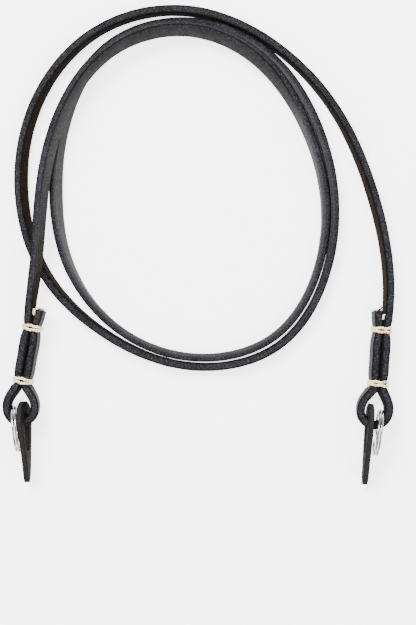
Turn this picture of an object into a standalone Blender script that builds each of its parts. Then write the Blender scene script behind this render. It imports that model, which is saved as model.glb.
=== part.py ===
"""A thin leather neck strap laid in a loose coil, with a split ring and a leather guard in each end.

Metres, +Z up. The strap lies on z = 0, and the origin is the middle of the bottom of its box. It is one
strip that stands on its edge. From the left end it runs up the left side, makes a little over two and a
half turns clockwise, seen from above, and leaves down the right side. Each end is folded back on itself
into an eye and bound twice with linen thread.
"""

import math

import bmesh
import bpy
import numpy as np
from mathutils import Matrix, Vector

MM = 0.001

# Leather strip, standing on its edge
STRAP_WIDTH = 5.0 * MM
STRAP_THICKNESS = 2.6 * MM
STRAP_CORNER = 0.45 * MM
FIT_GAP = 0.3 * MM
STATION_SPACING = 5.0 * MM
STATION_TURN = math.radians(11)
STATION_PRESS = 0.1
ROUTE_SAMPLES = 4000

# Coil: angles run clockwise from -X, seen from above
COIL_RADIUS = 52.0 * MM
COIL_FIRST_ANGLE = -30
COIL_ANGLE_STEP = 30
# reach as a share of COIL_RADIUS, lift of the lower edge as a share of STRAP_WIDTH, outward lean in degrees
COIL_ROWS = (
    (1.143, 1.18, 18),
    (0.940, 1.06, 26),
    (0.946, 1.20, 28),
    (1.018, 1.20, 37),
    (1.022, 0.84, 50),
    (0.934, 0.52, 44),
    (0.847, 0.12, 15),
    (0.860, 0.00, 5),
    (0.958, 0.00, 0),
    (1.087, 0.00, 0),
    (1.075, 0.00, 0),
    (0.999, 0.00, 0),
    (0.911, 0.00, 12),
    (0.860, 0.00, 24),
    (0.923, 0.00, 24),
    (1.050, 0.00, 15),
    (1.069, 0.00, 7),
    (1.000, 0.00, 7),
    (0.917, 0.00, 6),
    (0.920, 0.00, 5),
    (1.018, 0.00, 0),
    (1.151, 0.00, 0),
    (1.133, 0.00, 0),
    (1.073, 0.00, 4),
    (1.074, 0.00, 16),
    (1.082, 0.00, 26),
    (1.131, 0.00, 20),
    (1.176, 0.00, 10),
    (1.144, 0.00, 7),
    (1.070, 0.00, 7),
    (1.061, 0.00, 12),
    (1.162, 0.00, 16),
    (1.468, 0.18, 12),
)

# Split rings
RING_DIAMETER = 15.5 * MM
RING_WIRE_RADIAL = 1.1 * MM
RING_WIRE_FLAT = 0.75 * MM
RING_COIL_GAP = 0.12 * MM
RING_THICKNESS = 2 * RING_WIRE_FLAT + RING_COIL_GAP
RING_CROSSING_ANGLE = 50
RING_END_ANGLE = 3
RING_STATIONS = 60
RING_SEAT_GAP = 0.7 * MM

# Leather guards, each with a slot for the strap's eye and the device's lug
GUARD_THICKNESS = 1.8 * MM
GUARD_LENGTH = 27.5 * MM
GUARD_SMALL_RADIUS = 4.6 * MM
GUARD_WALL = 4.3 * MM
GUARD_TOP_WALL = 4.4 * MM
GUARD_SEAT_GAP = 0.8 * MM
GUARD_SLOT_LENGTH = 12.0 * MM
GUARD_SLOT_HALF = STRAP_WIDTH / 2 + 2 * FIT_GAP
GUARD_BIG_RADIUS = GUARD_SLOT_HALF + GUARD_WALL
GUARD_SLOT_CORNER = 2.0 * MM
GUARD_EDGE_BEVEL = 0.35 * MM

# Folded ends: two legs side by side, then an eye round the ring and the guard, level with its slot
BINDING_SPACING = 17.8 * MM
TAIL_LENGTH = 6.2 * MM
NECK_RUN = 1.7 * MM
LEG_LEAN = 10
LEG_GAP = 0.45 * MM
# share of the strap's thickness that the thread leaves, then rows of share of the way from the upper binding
# to the neck and share of thickness
BOUND_THICKNESS = 0.8
BOUND_SHARE = BINDING_SPACING / (BINDING_SPACING + NECK_RUN)
LEG_ROWS = ((-0.16, 1.0), (0.0, BOUND_THICKNESS), (0.2, 1.0), (0.5, 1.0), (0.74, 1.0),
            (BOUND_SHARE, BOUND_THICKNESS), (1.0, BOUND_THICKNESS))
TAIL_SPREAD = 0.25 * MM
EYE_LENGTH = 12.1 * MM
EYE_INNER_RADIUS = 3.35 * MM
EYE_HALF_WIDTH = EYE_INNER_RADIUS + STRAP_THICKNESS / 2
EYE_LIFT = GUARD_BIG_RADIUS - STRAP_WIDTH / 2
EYE_SIDE_PLAY = 0.4 * MM
RING_OUTBOARD = EYE_INNER_RADIUS - RING_THICKNESS / 2 - EYE_SIDE_PLAY
GUARD_INBOARD = EYE_INNER_RADIUS - GUARD_THICKNESS / 2 - 4 * EYE_SIDE_PLAY
# from the lower binding: share of the way to the eye's round bottom, share of EYE_HALF_WIDTH to the side,
# share of LEG_LEAN
EYE_ROWS = ((0.10, 0.41, 1.0), (0.28, 0.60, 0.8), (0.49, 0.81, 0.6), (0.74, 0.96, 0.4), (1.00, 1.00, 0.2))
EYE_ARC_ANGLES = (30, 60)
# side, upper binding from the coil's centre as shares of COIL_RADIUS, turn of the legs and of the eye from -Y
# towards +X in degrees, lift of the legs at the two bindings as shares of STRAP_WIDTH, plan turn of the ring
# and of the guard
ENDS = (
    {"side": "left", "sign": -1, "at": (-1.004, -0.886), "legs": -10, "eye": -2, "lifts": (0.90, 0.86),
     "ring_turn": 5, "guard_turn": 3},
    {"side": "right", "sign": 1, "at": (1.225, -0.902), "legs": -4, "eye": -9, "lifts": (0.42, 0.54),
     "ring_turn": -7, "guard_turn": -4},
)

# Linen thread bindings
THREAD_DIAMETER = 0.9 * MM
THREAD_WRAPS = 2
THREAD_PITCH = 1.1 * THREAD_DIAMETER
BINDING_CORNER_POINTS = 6

LEATHER_COLOUR = (0.030, 0.029, 0.030)
GUARD_COLOUR = (0.022, 0.019, 0.017)
THREAD_COLOUR = (0.86, 0.80, 0.66)
STEEL_COLOUR = (0.72, 0.72, 0.73)


def clear_scene():
    for item in list(bpy.data.objects):
        bpy.data.objects.remove(item)


def material(name, colour, roughness, metallic):
    made = bpy.data.materials.new(name)
    made.use_nodes = True
    shader = made.node_tree.nodes["Principled BSDF"]
    shader.inputs["Base Color"].default_value = (*colour, 1)
    shader.inputs["Roughness"].default_value = roughness
    shader.inputs["Metallic"].default_value = metallic
    return made


def add_mesh(name, points, faces, finish):
    mesh = bpy.data.meshes.new(name)
    mesh.from_pydata([tuple(p) for p in points], [], faces)
    skin = bmesh.new()
    skin.from_mesh(mesh)
    bmesh.ops.recalc_face_normals(skin, faces=skin.faces)
    skin.to_mesh(mesh)
    skin.free()
    mesh.shade_smooth()
    mesh.set_sharp_from_angle(angle=math.radians(35))
    mesh.materials.append(finish)
    made = bpy.data.objects.new(name, mesh)
    bpy.context.collection.objects.link(made)
    return made


def bridge(loops, closed):
    """Faces of a skin through equal loops of points, capped unless the loops close on themselves."""
    count = len(loops[0])
    total = len(loops)
    faces = []
    for i in range(total if closed else total - 1):
        j = (i + 1) % total
        for k in range(count):
            m = (k + 1) % count
            faces.append((i * count + k, i * count + m, j * count + m, j * count + k))
    if not closed:
        faces.append(tuple(reversed(range(count))))
        faces.append(tuple((total - 1) * count + k for k in range(count)))
    return faces


def strap_section():
    """Corners of the strip's section as (outward, up), anticlockwise seen against the run."""
    side = STRAP_THICKNESS / 2
    top = STRAP_WIDTH / 2
    cut = STRAP_CORNER
    return np.array([
        (side, cut - top), (side, top - cut), (side - cut, top), (cut - side, top),
        (-side, top - cut), (-side, cut - top), (cut - side, -top), (side - cut, -top),
    ])


def lowest(section, lean):
    """How far the leaning section reaches below its middle."""
    angle = np.radians(lean)
    return -np.min(section[:, 1] * math.cos(angle) - section[:, 0] * math.sin(angle))


def plan_axes(degrees, sign):
    """Level axes: down the fold, turned from -Y towards +X, and across it, away from the coil's middle."""
    turn = math.radians(degrees)
    return Vector((math.sin(turn), -math.cos(turn), 0)), Vector((math.cos(turn), math.sin(turn), 0)) * sign


def end_place(end):
    return Vector((*end["at"], 0)) * COIL_RADIUS


def eye_centre(end):
    """Centre of the eye's round bottom on the floor's level, with the eye's axes."""
    legs_down = plan_axes(end["legs"], end["sign"])[0]
    down, out = plan_axes(end["eye"], end["sign"])
    neck = end_place(end) + legs_down * (BINDING_SPACING + NECK_RUN)
    return neck + down * (EYE_LENGTH - EYE_HALF_WIDTH), down, out


def fold_points(end):
    """One folded end, from the lead to the cut end, as rows of (x, y, lift, lean, share of thickness)."""
    start = end_place(end)
    down, out = plan_axes(end["legs"], end["sign"])
    centre, eye_down, eye_out = eye_centre(end)
    upper, lower = (share * STRAP_WIDTH for share in end["lifts"])
    leg = down * (BINDING_SPACING + NECK_RUN)
    rows = []
    for side in (1, -1):
        part = []
        for share, thickness in LEG_ROWS:
            point = start + leg * share + out * leg_spacing(thickness) / 2 * side
            part.append((*point.xy, upper + (lower - upper) * share, LEG_LEAN * side, thickness))
        for along, across, lean in EYE_ROWS:
            point = start + leg + (centre - start - leg) * along + eye_out * EYE_HALF_WIDTH * across * side
            part.append((*point.xy, lower + (EYE_LIFT - lower) * along, LEG_LEAN * side * lean, 1.0))
        for angle in EYE_ARC_ANGLES:
            turn = math.radians(angle)
            spoke = eye_out * side * math.cos(turn) + eye_down * math.sin(turn)
            part.append((*(centre + spoke * EYE_HALF_WIDTH).xy, EYE_LIFT, 0.0, 1.0))
        if side == -1:
            tip = start - down * TAIL_LENGTH + out * (leg_spacing(1.0) / 2 + TAIL_SPREAD) * side
            part.insert(0, (*tip.xy, upper, LEG_LEAN * side, 1.0))
            part.reverse()
        rows += part
        if side == 1:
            rows.append((*(centre + eye_down * EYE_HALF_WIDTH).xy, EYE_LIFT, 0.0, 1.0))
    return rows


def leg_spacing(thickness):
    return (STRAP_THICKNESS * thickness + LEG_GAP) / math.cos(math.radians(LEG_LEAN))


def coil_points():
    """The coil's turns as rows of (x, y, lift, lean, share of thickness)."""
    rows = []
    for index, (reach, lift, lean) in enumerate(COIL_ROWS):
        angle = math.radians(COIL_FIRST_ANGLE + index * COIL_ANGLE_STEP)
        radius = reach * COIL_RADIUS
        rows.append((-radius * math.cos(angle), radius * math.sin(angle), lift * STRAP_WIDTH, lean, 1.0))
    return rows


def spline(knots, values, at):
    """A natural cubic curve through the values, read at the given places."""
    count = len(knots)
    step = np.diff(knots)
    slope = np.diff(values) / step
    matrix = np.eye(count)
    right = np.zeros(count)
    for i in range(1, count - 1):
        matrix[i, i - 1:i + 2] = (step[i - 1], 2 * (step[i - 1] + step[i]), step[i])
        right[i] = 6 * (slope[i] - slope[i - 1])
    bend = np.linalg.solve(matrix, right)
    i = np.clip(np.searchsorted(knots, at) - 1, 0, count - 2)
    a = (knots[i + 1] - at) / step[i]
    b = (at - knots[i]) / step[i]
    curve = (a ** 3 - a) * bend[i] + (b ** 3 - b) * bend[i + 1]
    return a * values[i] + b * values[i + 1] + curve * step[i] ** 2 / 6


def gentle(knots, values, at):
    """A curve through the values that never runs past them."""
    step = np.diff(knots)
    slope = np.diff(values) / step
    tangent = np.zeros(len(values))
    for i in range(1, len(values) - 1):
        if slope[i - 1] * slope[i] > 0:
            tangent[i] = 2 * slope[i - 1] * slope[i] / (slope[i - 1] + slope[i])
    i = np.clip(np.searchsorted(knots, at) - 1, 0, len(values) - 2)
    t = (at - knots[i]) / step[i]
    rise = values[i + 1] - values[i]
    start = tangent[i] * step[i]
    finish = tangent[i + 1] * step[i]
    return values[i] + t * start + t ** 2 * (3 * rise - 2 * start - finish) + t ** 3 * (start + finish - 2 * rise)


def strap_route():
    """Dense middle line of the whole strap, its lean in degrees, its share of thickness, and the bound places."""
    rows = list(reversed(fold_points(ENDS[0]))) + coil_points() + fold_points(ENDS[1])
    rows = np.array(rows)
    knots = np.concatenate(([0.0], np.cumsum(np.hypot(*np.diff(rows[:, :2], axis=0).T))))
    at = np.linspace(0, knots[-1], ROUTE_SAMPLES)
    x, y = (spline(knots, rows[:, k], at) for k in (0, 1))
    lift, lean, thickness = (gentle(knots, rows[:, k], at) for k in (2, 3, 4))
    section = strap_section()
    z = lift + np.array([lowest(section, angle) for angle in lean])
    bound = np.searchsorted(at, knots[rows[:, 4] < 1])
    return np.column_stack((x, y, z)), lean, thickness, bound


def stations(route, thickness, bound):
    """Places along the dense line for the skin's loops: close in the eyes, wider apart in the coil."""
    step = np.diff(route, axis=0)
    length = np.linalg.norm(step, axis=1)
    heading = np.unwrap(np.arctan2(step[:, 1], step[:, 0]))
    chosen = [0]
    travelled = 0.0
    for i in range(1, len(step)):
        travelled += length[i - 1]
        turned = abs(heading[i] - heading[chosen[-1]])
        pressed = abs(thickness[i] - thickness[chosen[-1]])
        if i in bound or travelled >= STATION_SPACING or turned >= STATION_TURN or pressed >= STATION_PRESS:
            chosen.append(i)
            travelled = 0.0
    chosen[-1] = len(route) - 1
    return chosen


def build_strap(finish):
    route, lean, thickness, bound = strap_route()
    section = strap_section()
    tangents = np.gradient(route, axis=0)
    loops = []
    for i in stations(route, thickness, bound):
        along = Vector(tangents[i]).normalized()
        outward = Vector((0, 0, 1)).cross(along).normalized()
        up = along.cross(outward)
        turn = Matrix.Rotation(math.radians(-lean[i]), 3, along)
        outward, up = turn @ outward * float(thickness[i]), turn @ up
        loops.append([Vector(route[i]) + outward * float(a) + up * float(b) for a, b in section])
    points = [p for loop in loops for p in loop]
    return add_mesh("strap", points, bridge(loops, closed=False), finish)


def leg_frame(end, share):
    """Middle between the two legs at a share of the way from the upper to the lower binding, with axes."""
    down, out = plan_axes(end["legs"], end["sign"])
    upper, lower = (lift * STRAP_WIDTH for lift in end["lifts"])
    middle = end_place(end) + down * BINDING_SPACING * share
    middle.z = upper + (lower - upper) * share + lowest(strap_section(), LEG_LEAN)
    along = (down * BINDING_SPACING + Vector((0, 0, lower - upper))).normalized()
    up = (Vector((0, 0, 1)) - along * along.z).normalized()
    lean = math.radians(LEG_LEAN)
    return (middle, along, out * math.cos(lean) - up * math.sin(lean),
            up * math.cos(lean) + out * math.sin(lean))


def build_binding(name, end, share, finish):
    """Wraps of thread as one fluted band round both legs."""
    middle, along, outward, up = leg_frame(end, share)
    thread = THREAD_DIAMETER / 2
    lean = math.radians(LEG_LEAN)
    spacing = leg_spacing(BOUND_THICKNESS)
    side = (spacing * math.cos(lean) + STRAP_THICKNESS * BOUND_THICKNESS) / 2 + FIT_GAP + thread
    top = (spacing * math.sin(lean) + STRAP_WIDTH) / 2 + FIT_GAP + thread
    corner = STRAP_CORNER + FIT_GAP + thread
    loops = []
    for quarter, (right, high) in enumerate(((1, 1), (-1, 1), (-1, -1), (1, -1))):
        centre = middle + outward * right * (side - corner) + up * high * (top - corner)
        for k in range(BINDING_CORNER_POINTS):
            angle = math.radians(90 * (quarter + k / (BINDING_CORNER_POINTS - 1)))
            radial = outward * math.cos(angle) + up * math.sin(angle)
            loops.append([centre + radial * (corner + a) + along * b for a, b in thread_section(thread)])
    points = [p for loop in loops for p in loop]
    return add_mesh(name, points, bridge(loops, closed=True), finish)


def thread_section(radius):
    """Section of the wraps side by side as (outward, along)."""
    first = -THREAD_PITCH * (THREAD_WRAPS - 1) / 2
    outer = []
    inner = []
    for wrap in range(THREAD_WRAPS):
        for angle in (-60, 0, 60):
            turn = math.radians(angle)
            along = first + wrap * THREAD_PITCH + radius * math.sin(turn)
            outer.append((radius * math.cos(turn), along))
            inner.append((-radius * math.cos(turn), along))
    return outer + inner[::-1]


def eye_inside(offset):
    """How far below its centre the eye's inner face lies, at an offset to the side."""
    return math.sqrt((EYE_HALF_WIDTH - STRAP_THICKNESS / 2) ** 2 - offset ** 2)


def build_ring(name, end, finish):
    """Two coils of flattened wire, with the short step where one passes into the other."""
    eye, eye_down, eye_out = eye_centre(end)
    down, across = plan_axes(end["ring_turn"], end["sign"])
    radius = (RING_DIAMETER - RING_WIRE_RADIAL) / 2
    hole = RING_DIAMETER / 2 - RING_WIRE_RADIAL
    strap_reach = STRAP_WIDTH / 2 + abs(RING_DIAMETER / 2 - EYE_LIFT - STRAP_WIDTH / 2)
    seat = eye_inside(RING_OUTBOARD + RING_THICKNESS / 2) - RING_SEAT_GAP
    centre = eye + eye_out * RING_OUTBOARD + eye_down * seat + down * math.sqrt(hole ** 2 - strap_reach ** 2)
    centre.z = RING_DIAMETER / 2
    crossing = RING_CROSSING_ANGLE / 2
    loops = []
    for angle in np.linspace(crossing + RING_END_ANGLE, 720 - crossing - RING_END_ANGLE, RING_STATIONS):
        share = min(max((angle - 360 + crossing) / RING_CROSSING_ANGLE, 0), 1)
        side = (RING_WIRE_FLAT + RING_COIL_GAP) * (share * share * (3 - 2 * share) - 0.5)
        turn = math.radians(angle - 90)
        radial = down * math.cos(turn) + Vector((0, 0, math.sin(turn)))
        place = centre + radial * radius + across * side
        loops.append([place + radial * a + across * b for a, b in wire_section()])
    points = [p for loop in loops for p in loop]
    return add_mesh(name, points, bridge(loops, closed=False), finish)


def wire_section():
    """Flattened wire with its edges cut off, as (outward, across)."""
    a = RING_WIRE_RADIAL / 2
    b = RING_WIRE_FLAT / 2
    return ((a, 0.5 * b), (0.5 * a, b), (-0.5 * a, b), (-a, 0.5 * b),
            (-a, -0.5 * b), (-0.5 * a, -b), (0.5 * a, -b), (a, -0.5 * b))


def arc(centre, radius, first, last, count):
    turns = [math.radians(first + (last - first) * k / (count - 1)) for k in range(count)]
    return [(centre[0] + radius * math.cos(t), centre[1] + radius * math.sin(t)) for t in turns]


def guard_outline():
    """Round tab, wide at the coil's end, as (along, up), with its straight lower edge on the floor."""
    big, small = GUARD_BIG_RADIUS, GUARD_SMALL_RADIUS
    rise = big - small
    span = math.sqrt((GUARD_LENGTH - big - small) ** 2 - rise ** 2)
    tilt = math.degrees(2 * math.atan2(rise, span))
    return arc((span, small), small, -90, 90 - tilt, 9) + arc((0, big), big, 90 - tilt, 270, 15)


def guard_slot():
    """Slot with rounded corners as (along, up), open past the eye's strap, level with it."""
    corner = GUARD_SLOT_CORNER
    first = GUARD_TOP_WALL - GUARD_BIG_RADIUS + corner
    last = first + GUARD_SLOT_LENGTH - 2 * corner
    middle = EYE_LIFT + STRAP_WIDTH / 2
    high = middle + GUARD_SLOT_HALF - corner
    low = middle - GUARD_SLOT_HALF + corner
    return (arc((last, low), corner, -90, 0, 5) + arc((last, high), corner, 0, 90, 5)
            + arc((first, high), corner, 90, 180, 5) + arc((first, low), corner, 180, 270, 5))


def prism(name, outline, thickness, place, along, across, finish):
    """An outline given as (along, up), made a plate of the thickness about the place."""
    loops = []
    for side in (-0.5, 0.5):
        loops.append([place + along * a + Vector((0, 0, b)) + across * side * thickness for a, b in outline])
    points = [p for loop in loops for p in loop]
    return add_mesh(name, points, bridge(loops, closed=False), finish)


def build_guard(name, end, finish):
    """Leather tab on its long edge, its slot round the strap at the bottom of the eye."""
    eye, eye_down, eye_out = eye_centre(end)
    along, across = plan_axes(end["guard_turn"], end["sign"])
    slot_top = eye_inside(GUARD_INBOARD + GUARD_THICKNESS / 2) - GUARD_SEAT_GAP
    place = eye - eye_out * GUARD_INBOARD + eye_down * (slot_top - GUARD_TOP_WALL + GUARD_BIG_RADIUS)
    guard = prism(name, guard_outline(), GUARD_THICKNESS, place, along, across, finish)
    cutter = prism(name + "_slot", guard_slot(), 3 * GUARD_THICKNESS, place, along, across, finish)
    cutter.hide_render = True
    cutter.display_type = "WIRE"
    edge = guard.modifiers.new("edges", "BEVEL")
    edge.width = GUARD_EDGE_BEVEL
    edge.segments = 2
    edge.limit_method = "ANGLE"
    edge.angle_limit = math.radians(50)
    cut = guard.modifiers.new("slot", "BOOLEAN")
    cut.operation = "DIFFERENCE"
    cut.object = cutter
    return guard


def centre_on_box():
    """Moves every mesh so that the origin is the middle of the bottom of the whole box."""
    meshes = [item.data for item in bpy.data.objects if item.type == "MESH"]
    shown = [item.data for item in bpy.data.objects if item.type == "MESH" and not item.hide_render]
    corners = np.array([v.co for mesh in shown for v in mesh.vertices])
    low, high = corners.min(axis=0), corners.max(axis=0)
    shift = Matrix.Translation((-(low[0] + high[0]) / 2, -(low[1] + high[1]) / 2, -low[2]))
    for mesh in meshes:
        mesh.transform(shift)


def build():
    clear_scene()
    leather = material("strap_leather", LEATHER_COLOUR, 0.62, 0.0)
    guard_leather = material("guard_leather", GUARD_COLOUR, 0.7, 0.0)
    thread = material("linen_thread", THREAD_COLOUR, 0.8, 0.0)
    steel = material("polished_steel", STEEL_COLOUR, 0.2, 1.0)
    build_strap(leather)
    for end in ENDS:
        for place, share in (("upper", 0.0), ("lower", 1.0)):
            build_binding(f"binding_{place}_{end['side']}", end, share, thread)
        build_ring(f"split_ring_{end['side']}", end, steel)
        build_guard(f"guard_{end['side']}", end, guard_leather)
    centre_on_box()


build()
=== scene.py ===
# %% [markdown]
# # A leather neck strap in a loose coil
#
# The part is one thin leather strip, five millimetres wide, that stands on its edge and winds a little over
# two and a half times round. Each end is folded into an eye, tied with waxed linen thread, and carries a
# small split ring and a leather guard. The solids of the part come first, as a fixed frame that is never
# moved. Finer pieces are then made over them, in the same places and in metres.

# %% The frame
import math
import random

import bpy
import numpy as np
from mathutils import Matrix, Vector, noise


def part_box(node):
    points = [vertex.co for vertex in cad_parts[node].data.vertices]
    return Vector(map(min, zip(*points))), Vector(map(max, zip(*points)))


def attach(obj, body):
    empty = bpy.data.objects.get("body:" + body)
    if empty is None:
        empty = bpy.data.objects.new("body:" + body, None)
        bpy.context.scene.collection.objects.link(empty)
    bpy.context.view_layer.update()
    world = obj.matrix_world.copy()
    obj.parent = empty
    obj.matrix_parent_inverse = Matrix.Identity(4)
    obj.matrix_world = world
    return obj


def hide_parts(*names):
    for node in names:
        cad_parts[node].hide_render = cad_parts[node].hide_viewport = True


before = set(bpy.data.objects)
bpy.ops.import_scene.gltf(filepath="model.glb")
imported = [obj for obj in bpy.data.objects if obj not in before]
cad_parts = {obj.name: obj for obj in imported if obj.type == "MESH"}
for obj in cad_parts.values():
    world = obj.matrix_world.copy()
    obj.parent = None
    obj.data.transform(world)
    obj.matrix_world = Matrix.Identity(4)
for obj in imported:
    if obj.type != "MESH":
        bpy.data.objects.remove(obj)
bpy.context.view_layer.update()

MM = 0.001
print("solids:", sorted(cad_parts))

# %% [markdown]
# ## The route of the strip
#
# A cord or strap can't be guessed from a few boxes: it needs the same middle line as its solid. The line is
# given here again by the table that the solid was made from. Each row of the coil is a reach from the
# coil's centre, a lift of the lower edge and an outward lean, one row every thirty degrees. The folded ends
# are worked out from the size of the strip, the gap between the two legs and the radius of the eye.

# %% Sizes of the strip and its coil
STRAP_WIDTH = 5.0 * MM
STRAP_THICKNESS = 2.6 * MM
STRAP_CORNER = 0.45 * MM
COIL_RADIUS = 52.0 * MM
COIL_FIRST_ANGLE = -30
COIL_ANGLE_STEP = 30
COIL_ROWS = (
    (1.143, 1.18, 18), (0.940, 1.06, 26), (0.946, 1.20, 28), (1.018, 1.20, 37), (1.022, 0.84, 50),
    (0.934, 0.52, 44), (0.847, 0.12, 15), (0.860, 0.00, 5), (0.958, 0.00, 0), (1.087, 0.00, 0),
    (1.075, 0.00, 0), (0.999, 0.00, 0), (0.911, 0.00, 12), (0.860, 0.00, 24), (0.923, 0.00, 24),
    (1.050, 0.00, 15), (1.069, 0.00, 7), (1.000, 0.00, 7), (0.917, 0.00, 6), (0.920, 0.00, 5),
    (1.018, 0.00, 0), (1.151, 0.00, 0), (1.133, 0.00, 0), (1.073, 0.00, 4), (1.074, 0.00, 16),
    (1.082, 0.00, 26), (1.131, 0.00, 20), (1.176, 0.00, 10), (1.144, 0.00, 7), (1.070, 0.00, 7),
    (1.061, 0.00, 12), (1.162, 0.00, 16), (1.468, 0.18, 12),
)

# %% [markdown]
# Each end of the strip is folded back on itself: two legs lie side by side between the bindings, and below
# them the strip opens into an eye. A curve drawn by hand would have to be fitted again each time a size
# changed, so the fold is worked out from its own sizes, as a maker would mark it.

# %% Sizes of the folded ends
BINDING_SPACING = 17.8 * MM
TAIL_LENGTH = 6.2 * MM
TAIL_SPREAD = 0.25 * MM
NECK_RUN = 1.7 * MM
LEG_LEAN = 10
LEG_GAP = 0.45 * MM
BOUND_THICKNESS = 0.8
BOUND_SHARE = BINDING_SPACING / (BINDING_SPACING + NECK_RUN)
# share of the way down the leg, share of the full thickness
LEG_ROWS = ((-0.16, 1.0), (0.0, BOUND_THICKNESS), (0.2, 1.0), (0.5, 1.0), (0.74, 1.0),
            (BOUND_SHARE, BOUND_THICKNESS), (1.0, BOUND_THICKNESS))
EYE_LENGTH = 12.1 * MM
EYE_INNER_RADIUS = 3.35 * MM
EYE_HALF_WIDTH = EYE_INNER_RADIUS + STRAP_THICKNESS / 2
EYE_LIFT = 4.9 * MM
# share of the way down to the eye's middle, share of its half width, share of the legs' lean
EYE_ROWS = ((0.10, 0.41, 1.0), (0.28, 0.60, 0.8), (0.49, 0.81, 0.6), (0.74, 0.96, 0.4), (1.00, 1.00, 0.2))
EYE_ARC_ANGLES = (30, 60)
# at: the upper binding's place in coil radii; legs, eye, ring_turn and guard_turn: degrees from straight
# down the picture; lifts: at the two bindings, in strip widths
ENDS = (
    {"side": "left", "sign": -1, "at": (-1.004, -0.886), "legs": -10, "eye": -2, "lifts": (0.90, 0.86),
     "ring_turn": 5, "guard_turn": 3},
    {"side": "right", "sign": 1, "at": (1.225, -0.902), "legs": -4, "eye": -9, "lifts": (0.42, 0.54),
     "ring_turn": -7, "guard_turn": -4},
)
print("folded ends:", [end["side"] for end in ENDS])

# %% [markdown]
# One fold becomes a list of points: down the first leg, round the eye and back up the second leg to the cut
# end. Each point has a place, a lift, a lean and a share of the full thickness. The second side is the first
# one mirrored, so one loop makes both.


# %% The folded ends as points
def plan_axes(degrees, sign):
    """Level axes: down the fold, and across it, away from the coil's middle."""
    turn = math.radians(degrees)
    return Vector((math.sin(turn), -math.cos(turn), 0)), Vector((math.cos(turn), math.sin(turn), 0)) * sign


def end_place(end):
    """The middle of a fold at its upper binding."""
    return Vector((*end["at"], 0)) * COIL_RADIUS


def leg_spacing(thickness):
    """How far apart the middles of the two legs are."""
    return (STRAP_THICKNESS * thickness + LEG_GAP) / math.cos(math.radians(LEG_LEAN))


def eye_centre(end):
    """The eye's middle, with its axes down and outwards."""
    legs_down = plan_axes(end["legs"], end["sign"])[0]
    down, out = plan_axes(end["eye"], end["sign"])
    neck = end_place(end) + legs_down * (BINDING_SPACING + NECK_RUN)
    return neck + down * (EYE_LENGTH - EYE_HALF_WIDTH), down, out


def fold_points(end):
    """One folded end, from the lead to the cut end, as rows of (x, y, lift, lean, share of thickness)."""
    start = end_place(end)
    down, out = plan_axes(end["legs"], end["sign"])
    centre, eye_down, eye_out = eye_centre(end)
    upper, lower = (share * STRAP_WIDTH for share in end["lifts"])
    leg = down * (BINDING_SPACING + NECK_RUN)
    rows = []
    for side in (1, -1):
        part = []
        for share, thickness in LEG_ROWS:
            point = start + leg * share + out * leg_spacing(thickness) / 2 * side
            part.append((*point.xy, upper + (lower - upper) * share, LEG_LEAN * side, thickness))
        for along, across, lean in EYE_ROWS:
            point = start + leg + (centre - start - leg) * along + eye_out * EYE_HALF_WIDTH * across * side
            part.append((*point.xy, lower + (EYE_LIFT - lower) * along, LEG_LEAN * side * lean, 1.0))
        for angle in EYE_ARC_ANGLES:
            turn = math.radians(angle)
            spoke = eye_out * side * math.cos(turn) + eye_down * math.sin(turn)
            part.append((*(centre + spoke * EYE_HALF_WIDTH).xy, EYE_LIFT, 0.0, 1.0))
        if side == -1:
            tip = start - down * TAIL_LENGTH + out * (leg_spacing(1.0) / 2 + TAIL_SPREAD) * side
            part.insert(0, (*tip.xy, upper, LEG_LEAN * side, 1.0))
            part.reverse()
        rows += part
        if side == 1:
            rows.append((*(centre + eye_down * EYE_HALF_WIDTH).xy, EYE_LIFT, 0.0, 1.0))
    return rows


# %% [markdown]
# The points are joined by a natural cubic curve, which bends as a springy strip does when it is held at a
# few places. A curve object would give nearly the same line, but not the solid's own line. Lift, lean and
# thickness use a second kind of curve, which never runs past its points, since the strip can't sink into
# the surface that it lies on.


# %% Smooth curves through the points
def spline(knots, values, at):
    """A natural cubic curve through the values."""
    step = np.diff(knots)
    slope = np.diff(values) / step
    matrix = np.eye(len(knots))
    right = np.zeros(len(knots))
    for i in range(1, len(knots) - 1):
        matrix[i, i - 1:i + 2] = (step[i - 1], 2 * (step[i - 1] + step[i]), step[i])
        right[i] = 6 * (slope[i] - slope[i - 1])
    bend = np.linalg.solve(matrix, right)
    i = np.clip(np.searchsorted(knots, at) - 1, 0, len(knots) - 2)
    a = (knots[i + 1] - at) / step[i]
    b = (at - knots[i]) / step[i]
    curve = (a ** 3 - a) * bend[i] + (b ** 3 - b) * bend[i + 1]
    return a * values[i] + b * values[i + 1] + curve * step[i] ** 2 / 6


def gentle(knots, values, at):
    """A curve through the values that never runs past them."""
    step = np.diff(knots)
    slope = np.diff(values) / step
    tangent = np.zeros(len(values))
    for i in range(1, len(values) - 1):
        if slope[i - 1] * slope[i] > 0:
            tangent[i] = 2 * slope[i - 1] * slope[i] / (slope[i - 1] + slope[i])
    i = np.clip(np.searchsorted(knots, at) - 1, 0, len(values) - 2)
    t = (at - knots[i]) / step[i]
    rise = values[i + 1] - values[i]
    start = tangent[i] * step[i]
    finish = tangent[i + 1] * step[i]
    return values[i] + t * start + t ** 2 * (3 * rise - 2 * start - finish) + t ** 3 * (start + finish - 2 * rise)


# %% [markdown]
# The curve is now read at even steps of less than a millimetre, so that the loops of the skin are alike and
# the shading is even. Each place also gets the three directions of the strip's section: along, outward and
# up. The section's corners are needed here too, since a leaning strip rests on its lowest corner.


# %% The corners of the solid's section
def coarse_section():
    """Corners of the solid strip's section as (outward, up)."""
    side = STRAP_THICKNESS / 2
    top = STRAP_WIDTH / 2
    cut = STRAP_CORNER
    return np.array([
        (side, cut - top), (side, top - cut), (side - cut, top), (cut - side, top),
        (-side, top - cut), (-side, cut - top), (cut - side, -top), (side - cut, -top),
    ])


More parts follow.
